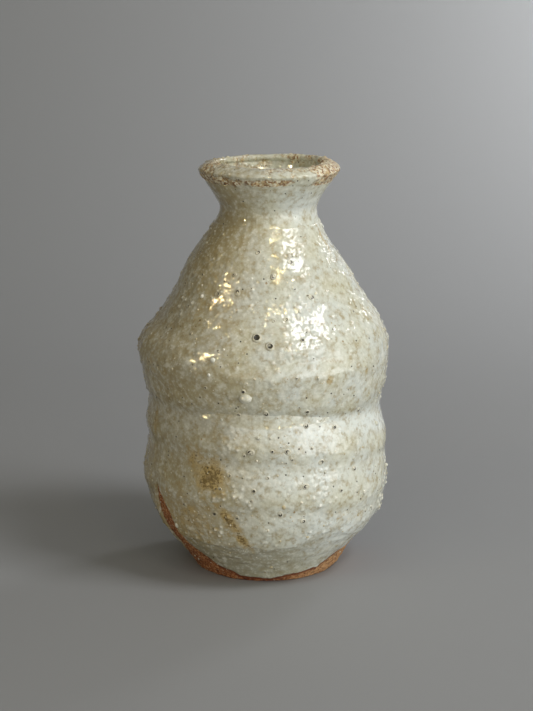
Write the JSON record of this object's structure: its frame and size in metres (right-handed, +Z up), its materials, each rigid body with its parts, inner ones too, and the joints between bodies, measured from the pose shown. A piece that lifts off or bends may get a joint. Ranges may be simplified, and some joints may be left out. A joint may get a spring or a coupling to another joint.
{
  "type": "sake bottle",
  "caption": "Wheel-thrown stoneware sake flask with a rolled lip, narrow neck, ridged shoulder and ringed belly, coated in thick pale feldspar glaze over bare red clay at the foot.",
  "frame": {"origin": "centre of the flat foot, in the plane it stands on", "axes": "+Z up along the bottle's turning axis towards the mouth; -Y is the front that the picture shows; the bare streak in the glaze lies 27 degrees from -X towards the front"},
  "size_m": [0.0865, 0.0864, 0.139],
  "materials": {
    "red_clay": "unglazed, sandy, fired rust red",
    "feldspar_glaze": "glossy, grey-white to ochre, grainy",
    "glaze_lining": "glossy, pale green-white",
    "feldspar_grain": "fused, milky white",
    "glaze_bead": "glassy, milky"
  },
  "bodies": {
    "root": {"clay_body": "red_clay", "outer_glaze": "feldspar_glaze", "inner_glaze": "glaze_lining", "feldspar_grains": "feldspar_grain", "glaze_beads": "glaze_bead"}
  },
  "joints": []
}
